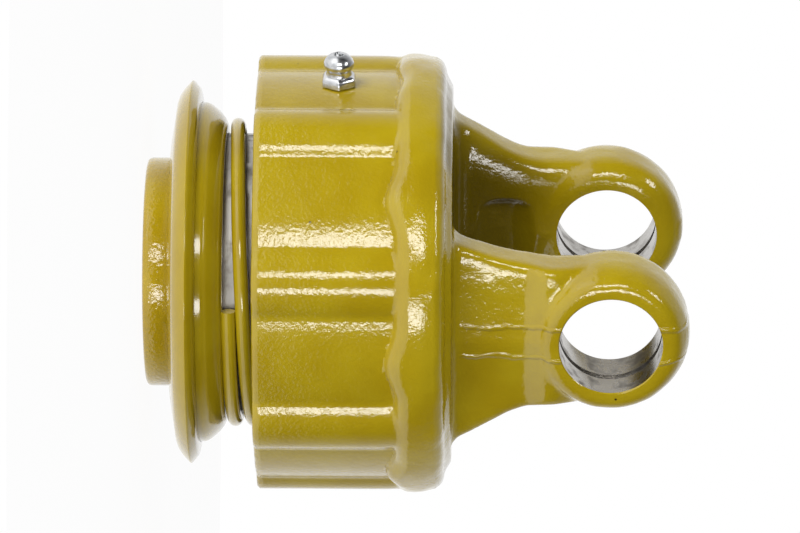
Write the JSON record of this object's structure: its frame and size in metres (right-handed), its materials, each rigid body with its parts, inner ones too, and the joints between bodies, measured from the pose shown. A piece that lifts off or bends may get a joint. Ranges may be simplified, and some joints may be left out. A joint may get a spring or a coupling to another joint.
{
  "type": "drive shaft overrunning clutch yoke",
  "caption": "Forged fork in one piece with a lobed overrunning-clutch housing, with a splined hub, a quick-release ball collar, its spring and a grease nipple.",
  "frame": {"origin": "on the shaft axis, in the hub's end face, which the part stands on", "axes": "+Z along the shaft axis towards the fork, +X along the cross bores, grease nipple towards -Y"},
  "size_m": [0.0956, 0.0996, 0.1168],
  "materials": {
    "olive_enamel": "glossy olive-yellow enamel over the forged skin",
    "machined_steel": "turned or ground steel, lightly oiled",
    "spring_steel": "dark phosphated spring steel",
    "bronze": "plain bearing bronze",
    "zinc": "bright zinc plating"
  },
  "bodies": {
    "housing": {"yoke_housing": "olive_enamel", "housing_circlip": "spring_steel", "cover_ring": "machined_steel", "rear_bush": "bronze", "nipple_body": "zinc", "nipple_ball": "machined_steel"},
    "hub": {"hub": "olive_enamel", "stop_ring": "spring_steel", "spring_seat": "machined_steel", "collar_spring": "olive_enamel", "pawl_spring_1": "spring_steel", "pawl_spring_2": "spring_steel", "pawl_spring_3": "spring_steel", "pawl_spring_4": "spring_steel"},
    "collar": {"collar_flange": "olive_enamel", "collar_barrel": "olive_enamel", "locking_ring": "machined_steel"},
    "pawl_1": {"pawl_1": "machined_steel"},
    "pawl_2": {"pawl_2": "machined_steel"},
    "pawl_3": {"pawl_3": "machined_steel"},
    "pawl_4": {"pawl_4": "machined_steel"},
    "locking_ball_1": {"locking_ball_1": "machined_steel"},
    "locking_ball_2": {"locking_ball_2": "machined_steel"},
    "locking_ball_3": {"locking_ball_3": "machined_steel"}
  },
  "joints": [
    {"name": "hub_spin", "type": "hinge", "parent": "housing", "child": "hub", "pos_m": [0, 0, 0.046], "axis": [0, 0, 1], "continuous": true},
    {"name": "collar_slide", "type": "slide", "parent": "hub", "child": "collar", "axis": [0, 0, 1], "range_m": [0, 0.004], "stiffness_N_per_m": 6000, "springref_m": -0.004, "deforming": ["collar_spring"]},
    {"name": "pawl_1_slide", "type": "slide", "parent": "hub", "child": "pawl_1", "axis": [0.9239, 0.3827, 0], "range_m": [0, 0.0034], "stiffness_N_per_m": 1500, "springref_m": 0.006, "deforming": ["pawl_spring_1"]},
    {"name": "pawl_2_slide", "type": "slide", "parent": "hub", "child": "pawl_2", "axis": [-0.3827, 0.9239, 0], "range_m": [0, 0.0034], "stiffness_N_per_m": 1500, "springref_m": 0.006, "deforming": ["pawl_spring_2"]},
    {"name": "pawl_3_slide", "type": "slide", "parent": "hub", "child": "pawl_3", "axis": [-0.9239, -0.3827, 0], "range_m": [0, 0.0034], "stiffness_N_per_m": 1500, "springref_m": 0.006, "deforming": ["pawl_spring_3"]},
    {"name": "pawl_4_slide", "type": "slide", "parent": "hub", "child": "pawl_4", "axis": [0.3827, -0.9239, 0], "range_m": [0, 0.0034], "stiffness_N_per_m": 1500, "springref_m": 0.006, "deforming": ["pawl_spring_4"]},
    {"name": "locking_ball_1_slide", "type": "slide", "parent": "hub", "child": "locking_ball_1", "axis": [0.866, 0.5, 0], "range_m": [0, 0.00235]},
    {"name": "locking_ball_2_slide", "type": "slide", "parent": "hub", "child": "locking_ball_2", "axis": [-0.866, 0.5, 0], "range_m": [0, 0.00235]},
    {"name": "locking_ball_3_slide", "type": "slide", "parent": "hub", "child": "locking_ball_3", "axis": [0, -1, 0], "range_m": [0, 0.00235]}
  ],
  "couplings": [
    {"joint": "locking_ball_1_slide", "follows": "collar_slide", "ratio": 0.57735},
    {"joint": "locking_ball_2_slide", "follows": "collar_slide", "ratio": 0.57735},
    {"joint": "locking_ball_3_slide", "follows": "collar_slide", "ratio": 0.57735}
  ]
}
